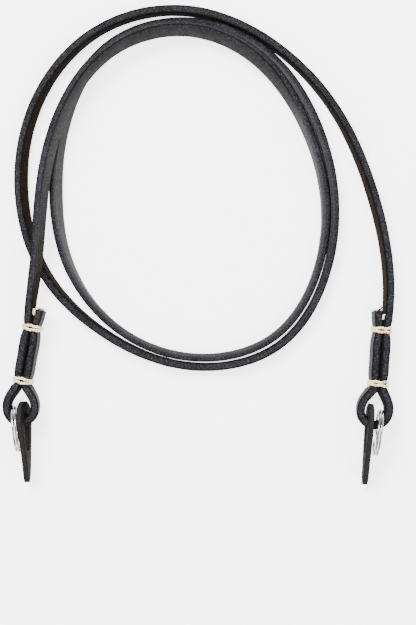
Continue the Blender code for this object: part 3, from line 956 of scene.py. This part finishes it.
def split_ring(name):
    """The ring in its own axes, lying in XY about the origin."""
    bpy.ops.object.select_all(action="DESELECT")
    bpy.ops.mesh.primitive_plane_add(size=1, location=(RING_DIAMETER / 2 - RING_WIRE_RADIAL / 2, 0, 0),
                                     rotation=(math.pi / 2, 0, 0))
    ring = bpy.context.object
    ring.name = name
    ring.scale = (RING_WIRE_RADIAL, RING_WIRE_FLAT, 1)
    bpy.ops.object.transform_apply(location=True, rotation=True, scale=True)
    bpy.ops.object.mode_set(mode="EDIT")
    bpy.ops.mesh.select_all(action="SELECT")
    bpy.ops.mesh.bevel(offset=RING_CORNER, segments=3, affect="VERTICES")
    bpy.ops.mesh.delete(type="ONLY_FACE")
    bpy.ops.mesh.select_all(action="SELECT")
    total = 720 - RING_CROSSING_ANGLE - 2 * RING_END_ANGLE
    bpy.ops.mesh.spin(steps=RING_STEPS, angle=math.radians(total), center=(0, 0, 0), axis=(0, 0, 1))
    bpy.ops.object.mode_set(mode="OBJECT")
    count = len(ring.data.vertices) // (RING_STEPS + 1)
    first = RING_CROSSING_ANGLE / 2 + RING_END_ANGLE
    middle = RING_DIAMETER / 2 - RING_WIRE_RADIAL / 2
    for vertex in ring.data.vertices:
        angle = first + total * (vertex.index // count) / RING_STEPS
        share = min(max((angle - 360 + RING_CROSSING_ANGLE / 2) / RING_CROSSING_ANGLE, 0), 1)
        side = (RING_WIRE_FLAT + RING_COIL_GAP) * (share * share * (3 - 2 * share) - 0.5)
        near_end = min(angle - first, first + total - angle)
        flat, gain, run = RING_END_FLAT
        thin = flat + gain * min(near_end / run, 1) ** 0.5
        narrow, gain, run = RING_END_NARROW
        reach = math.hypot(vertex.co.x, vertex.co.y)
        reach = middle + (reach - middle) * (narrow + gain * min(near_end / run, 1))
        turn = math.radians(angle - 90)
        vertex.co = (reach * math.cos(turn), reach * math.sin(turn), vertex.co.z * thin + side)
    bpy.ops.object.mode_set(mode="EDIT")
    bpy.ops.mesh.select_all(action="SELECT")
    bpy.ops.mesh.fill_holes(sides=0)
    bpy.ops.mesh.normals_make_consistent(inside=False)
    bpy.ops.object.mode_set(mode="OBJECT")
    bpy.ops.object.shade_smooth_by_angle(angle=math.radians(RING_CREASE))
    return ring


# %% [markdown]
# The rings are nickel plated and polished, bright but handled: the wire has fine faint scratches, and the
# plating is a little duller where things rub on it. A plain metal would do from far away, but without the
# two kinds of wear its highlights are too clean.

# %% The rings
steel = Sheet("polished_steel")
scratch = steel.noise(0.09 * MM, 2, 0.6)
rubbed = steel.between(steel.noise(1.6 * MM, 2), 0.45, 0.75)
steel.set(Base_Color=steel.mix(rubbed, (0.36, 0.36, 0.37), (0.24, 0.24, 0.24)),
          Roughness=0.08 + rubbed * 0.10 + scratch * 0.05, Normal=steel.bump(scratch, 0.002 * MM, 0.5))
steel.set(Metallic=1.0)
for end in ENDS:
    ring = split_ring(f"ring_{end['side']}")
    centre, down, across = ring_frame(end)
    place_mesh(ring, centre, down, Vector((0, 0, 1)), across)
    ring.data.materials.append(steel.material)
    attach(ring, "root")
    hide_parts(f"split_ring_{end['side']}")
    print(ring.name, len(ring.data.polygons), "faces")

# %% [markdown]
# ## Leather guards
#
# The guards keep the rings from scratching what the strap carries. Each is a thick leather tab, round at both ends and
# wider at the strap's end, with a slot through it. Two short cylinders give the two round ends, a convex hull
# draws the tab round them, and a block with rounded corners cuts the slot. The tab is then remeshed finely,
# so that its face can ripple a little and its cut rim can be rough, as stamped leather is.

# %% Guard sizes
GUARD_THICKNESS = 1.8 * MM
GUARD_LENGTH = 27.5 * MM
GUARD_SMALL_RADIUS = 4.6 * MM
GUARD_BIG_RADIUS = EYE_LIFT + STRAP_WIDTH / 2
GUARD_TOP_WALL = 4.4 * MM
GUARD_SEAT_GAP = 0.8 * MM
GUARD_SLOT_LENGTH = 12.0 * MM
GUARD_SLOT_HALF = STRAP_WIDTH / 2 + 0.6 * MM
GUARD_SLOT_CORNER = 2.0 * MM
GUARD_INBOARD = EYE_INNER_RADIUS - GUARD_THICKNESS / 2 - 4 * EYE_SIDE_PLAY
print("guard:", round(GUARD_LENGTH / MM, 1), "mm long,", round(GUARD_THICKNESS / MM, 1), "mm thick")

# %% [markdown]
# A guard stands on its edge below the eye, beside its ring. The eye holds it by the end of its slot. The soft
# leather also twists a little, more at the left than at the right, which a straight tab would not show, so
# its points are moved sideways by an angle that fades along the tab.


# %% Where a guard stands, and its twist
def guard_frame(end):
    """The centre of the tab's big round end on the floor's level, with its axes."""
    eye_at, eye_down, eye_out = eye_centre(end)
    along, across = plan_axes(end["guard_turn"], end["sign"])
    edge = GUARD_INBOARD + GUARD_THICKNESS / 2
    slot_top = math.sqrt(EYE_INNER_RADIUS ** 2 - edge ** 2) - GUARD_SEAT_GAP
    place = eye_at - eye_out * GUARD_INBOARD + eye_down * (slot_top - GUARD_TOP_WALL + GUARD_BIG_RADIUS)
    return Vector((place.x + SHIFT[0], place.y + SHIFT[1], 0)), along, across


GUARD_LEAN = {"left": 12, "right": 2}
GUARD_LEAN_HEIGHT = 9.0 * MM


def lean_tab(tab, degrees):
    """The soft tab twists: it leans outwards at the strap's end and stands straight at its far end."""
    for vertex in tab.data.vertices:
        share = min(max(1 - (vertex.co.x + GUARD_BIG_RADIUS) / GUARD_LENGTH, 0), 1)
        vertex.co.z += math.tan(math.radians(degrees * share)) * (vertex.co.y - GUARD_LEAN_HEIGHT)


# %% [markdown]
# The tab itself: two discs, a convex hull round them, a slot, small rounded edges, and then the fine mesh
# that the rough rim needs. The slot could be drawn in the outline, but cut out of the finished tab it keeps
# a size of its own, as a punch has.

# %% One guard
GUARD_DISC_CORNERS = 96
GUARD_EDGE_ROUND = 0.30 * MM
GUARD_VOXEL = 0.24 * MM


def apply_all(item):
    """Applies every modifier on the piece, from the first to the last."""
    select(item)
    for modifier in list(item.modifiers):
        bpy.ops.object.modifier_apply(modifier=modifier.name)


def guard_tab(name):
    """The tab in its own axes: along X, up Y, thick Z."""
    big, small = GUARD_BIG_RADIUS, GUARD_SMALL_RADIUS
    span = math.sqrt((GUARD_LENGTH - big - small) ** 2 - (big - small) ** 2)
    bpy.ops.object.select_all(action="DESELECT")
    discs = []
    for radius, place in ((big, 0.0), (small, span)):
        bpy.ops.mesh.primitive_cylinder_add(vertices=GUARD_DISC_CORNERS, radius=radius,
                                            depth=GUARD_THICKNESS, location=(place, radius, 0))
        discs.append(bpy.context.object)
    tab = join(name, discs)
    bpy.ops.object.transform_apply(location=True)
    bpy.ops.object.mode_set(mode="EDIT")
    bpy.ops.mesh.select_all(action="SELECT")
    bpy.ops.mesh.convex_hull()
    bpy.ops.object.mode_set(mode="OBJECT")
    slot_middle = (GUARD_TOP_WALL - big + GUARD_SLOT_LENGTH / 2, EYE_LIFT + STRAP_WIDTH / 2, 0)
    bpy.ops.object.select_all(action="DESELECT")
    bpy.ops.mesh.primitive_cube_add(size=1, location=slot_middle)
    cutter = bpy.context.object
    cutter.scale = (GUARD_SLOT_LENGTH, 2 * GUARD_SLOT_HALF, 3 * GUARD_THICKNESS)
    bpy.ops.object.transform_apply(location=True, scale=True)
    for edge in cutter.data.edges:
        ends = [cutter.data.vertices[v].co for v in edge.vertices]
        edge.select = abs(ends[0].z - ends[1].z) > GUARD_THICKNESS
    bpy.ops.object.mode_set(mode="EDIT")
    bpy.ops.mesh.select_mode(type="EDGE")
    bpy.ops.mesh.bevel(offset=GUARD_SLOT_CORNER, segments=8)
    bpy.ops.object.mode_set(mode="OBJECT")
    rounded = tab.modifiers.new("edges", "BEVEL")
    rounded.width = GUARD_EDGE_ROUND
    rounded.segments = 2
    cut = tab.modifiers.new("slot", "BOOLEAN")
    cut.object = cutter
    cut.solver = "EXACT"
    fine = tab.modifiers.new("fine", "REMESH")
    fine.mode = "VOXEL"
    fine.voxel_size = GUARD_VOXEL
    soft = tab.modifiers.new("soft", "SMOOTH")
    soft.iterations = 2
    apply_all(tab)
    bpy.data.objects.remove(cutter)
    return tab


# %% [markdown]
# A stamped rim is rough, while the face only ripples. Each point of the tab is moved along its normal by two
# sizes of noise, much on the rim and little on the face, and the same share is kept as the mark "rim" for
# the material.

# %% The rough rim
RIM_LUMPS = (1.1 * MM, 0.10)
RIM_FIBRES = (0.35 * MM, 0.09)
RIM_WEAR = 0.08
RIM_SLOPE = 0.6
FACE_RIPPLE = 0.03


def roughen(tab, seed):
    """A rough rim and a rippled face, in the tab's own axes, with the rim marked for the material."""
    offset = Vector((seed, 2 * seed, 0))
    marks = []
    for vertex in tab.data.vertices:
        rim = 1 - min(abs(vertex.normal.z) / RIM_SLOPE, 1)
        coarse = noise.noise(vertex.co / RIM_LUMPS[0] + offset)
        fine = noise.noise(vertex.co / RIM_FIBRES[0] + offset)
        rough = rim * (RIM_LUMPS[1] * coarse + RIM_FIBRES[1] * fine - RIM_WEAR) + (1 - rim) * FACE_RIPPLE * coarse
        vertex.co += vertex.normal * rough * MM
        marks.append(rim)
    for vertex in tab.data.vertices:
        vertex.co.y = max(vertex.co.y, 0.0)
    tab.data.attributes.new("rim", "FLOAT", "POINT").data.foreach_set("value", np.array(marks, np.float32))
    select(tab)
    bpy.ops.object.shade_smooth()


# %% [markdown]
# The guards are plainer than the strip: their faces are dyed nearly black, and the fibres of the cut rim are
# a little paler. The same leather serves for the shred at the strip's cut end.

# %% The guards
hide = Sheet("guard_leather")
rim = hide.attribute("rim")
hide_grain = hide.noise(0.5 * MM, 3, 0.6)
hide_fibre = hide.noise(0.22 * MM, 2, 0.7)
face_colour = hide.ramp(hide_grain, (0.3, (0.0038, 0.0032, 0.0029)), (0.7, (0.0135, 0.0117, 0.0106)))
rim_colour = hide.ramp(hide_fibre, (0.35, (0.0060, 0.0057, 0.0056)), (0.7, (0.0360, 0.0345, 0.0340)))
hide.set(Base_Color=hide.mix(rim, face_colour, rim_colour), Roughness=0.62 + rim * 0.2,
         Normal=hide.bump(hide_grain * 0.5 + hide_fibre * 0.6, 0.10 * MM, 0.9))
hide.set(Specular_IOR_Level=0.005)
for number, end in enumerate(ENDS):
    tab = guard_tab(f"tab_{end['side']}")
    roughen(tab, 3.7 + 5 * number)
    lean_tab(tab, GUARD_LEAN[end["side"]])
    centre, along, across = guard_frame(end)
    place_mesh(tab, centre, along, Vector((0, 0, 1)), across)
    tab.data.materials.clear()
    tab.data.materials.append(hide.material)
    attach(tab, "root")
    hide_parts(f"guard_{end['side']}")
    print(tab.name, len(tab.data.polygons), "faces")

# %% [markdown]
# ## Frayed cut ends
#
# The two cut ends of the strip are not painted: torn tan fibres stand out of them. Hair particles could draw
# them, but they have no mesh of their own, so each end gets a tuft of short bent tubes with a taper. The
# random order has a fixed seed, so that every run gives the same tuft.

# %% The fibres
HAIRS = 34
HAIR_ACROSS = (-0.46, 0.46)
HAIR_UP = (-0.47, 0.49)
HAIR_LEAN_ACROSS = (-0.9, 0.9)
HAIR_LEAN_UP = (-0.4, 0.9)
HAIR_LENGTHS = (0.30, 1.15)
HAIR_RADII = (0.05, 0.11)
HAIR_ROOT = 0.12
HAIR_TAPER = (1.2, 1.0, 0.8, 0.6, 0.25)
raw = Sheet("raw_fibre")
raw.set(Base_Color=raw.ramp(raw.noise(0.5 * MM, 1), (0.38, (0.030, 0.014, 0.008)), (0.62, (0.34, 0.16, 0.09))),
        Roughness=0.85)
draw = random.Random(7)
along_all, outward_all, up_all = frames(LINE, LEAN)
for side, index, direction in (("left", 0, -1), ("right", -1, 1)):
    hairs = []
    for _ in range(HAIRS):
        a = draw.uniform(*HAIR_ACROSS) * STRAP_THICKNESS
        b = draw.uniform(*HAIR_UP) * STRAP_WIDTH
        root = LINE[index] + outward_all[index] * a + up_all[index] * b
        lean_to = outward_all[index] * draw.uniform(*HAIR_LEAN_ACROSS) + up_all[index] * draw.uniform(*HAIR_LEAN_UP)
        length = draw.uniform(*HAIR_LENGTHS) * MM
        path = [root + direction * along_all[index] * length * (t - HAIR_ROOT) + lean_to * length * t * t
                for t in (0.0, 0.25, 0.5, 0.75, 1.0)]
        hairs.append(tube("hair", path, draw.uniform(*HAIR_RADII) * MM, taper=HAIR_TAPER))
    tuft = join(f"frayed_fibre_{side}", hairs)
    tuft.data.materials.clear()
    tuft.data.materials.append(raw.material)
    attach(tuft, "root")
    print(tuft.name, len(tuft.data.polygons), "faces")

# %% [markdown]
# The knife left one thin shred of dyed leather standing at the right cut end, where it came out of the cut.
# It rises from the upper edge, curls over and runs out past the cut. A thin tube with a taper is enough for
# it, since it is no wider than a pixel or two in the picture.

# %% The shred
SHRED_LENGTH = 2.6 * MM
SHRED_RADIUS = 0.36 * MM
SHRED_ASIDE = 0.40 * MM
SHRED_ROOT = 0.40 * STRAP_WIDTH
SHRED_TURN = math.radians(150)
SHRED_POINTS = 9
path = []
for k in range(SHRED_POINTS):
    share = k / (SHRED_POINTS - 1)
    turn = share * SHRED_TURN
    path.append(LINE[-1] + up_all[-1] * (SHRED_ROOT + SHRED_LENGTH * 0.30 * math.sin(turn))
                + along_all[-1] * SHRED_LENGTH * (share * 0.75 - 0.15)
                + outward_all[-1] * (SHRED_LENGTH * 0.18 * math.sin(2 * turn) - SHRED_ASIDE))
shred = tube("torn_shred_right", path, SHRED_RADIUS, taper=np.linspace(1.2, 0.5, SHRED_POINTS))
shred.data.materials.append(hide.material)
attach(shred, "root")
print(shred.name, len(shred.data.polygons), "faces")

# %% [markdown]
# ## Floor and light
#
# The strap lies on plain white, so the floor is white paper and the light is broad and soft: a large lamp
# above to the upper left, a weaker one opposite, and a pale world all round. Brighter lamps would whiten the
# floor too, but they would also turn the leather grey, so the paper has a steady glow of its own.

# %% The floor
FLOOR_SIZE = 6
FLOOR_LEVEL = -0.05 * MM
FLOOR_GLOW = 2.8
bpy.ops.object.select_all(action="DESELECT")
bpy.ops.mesh.primitive_plane_add(size=FLOOR_SIZE, location=(0, 0, FLOOR_LEVEL))
floor = bpy.context.object
floor.name = "floor"
paper = Sheet("paper")
paper.set(Base_Color=paper.ramp(paper.noise(40 * MM, 2), (0.0, (0.94, 0.94, 0.94)), (1.0, (0.96, 0.96, 0.96))),
          Roughness=0.9)
paper.set(Emission_Color=(1.0, 1.0, 1.0), Emission_Strength=FLOOR_GLOW)
floor.data.materials.append(paper.material)
print("floor:", FLOOR_SIZE, "m wide")

# %% [markdown]
# The lamps are wide discs not far from the strap, which is what makes their shadows soft. Both point at the
# middle of the part.

# %% The light
WORLD_LIGHT = 0.9


def area_light(name, place, size, power):
    """A round lamp that shines at the middle of the part."""
    lamp = bpy.data.lights.new(name, "AREA")
    lamp.shape = "DISK"
    lamp.size = size
    lamp.energy = power
    made = bpy.data.objects.new(name, lamp)
    bpy.context.collection.objects.link(made)
    made.location = place
    made.rotation_euler = (-Vector(place)).to_track_quat("-Z", "Y").to_euler()


area_light("key_light", (-0.5, 0.7, 1.3), 0.9, 60)
area_light("fill_light", (0.8, -0.5, 1.2), 1.2, 20)
world = bpy.data.worlds.new("studio")
world.use_nodes = True
world.node_tree.nodes["Background"].inputs["Color"].default_value = (1, 1, 1, 1)
world.node_tree.nodes["Background"].inputs["Strength"].default_value = WORLD_LIGHT
bpy.context.scene.world = world
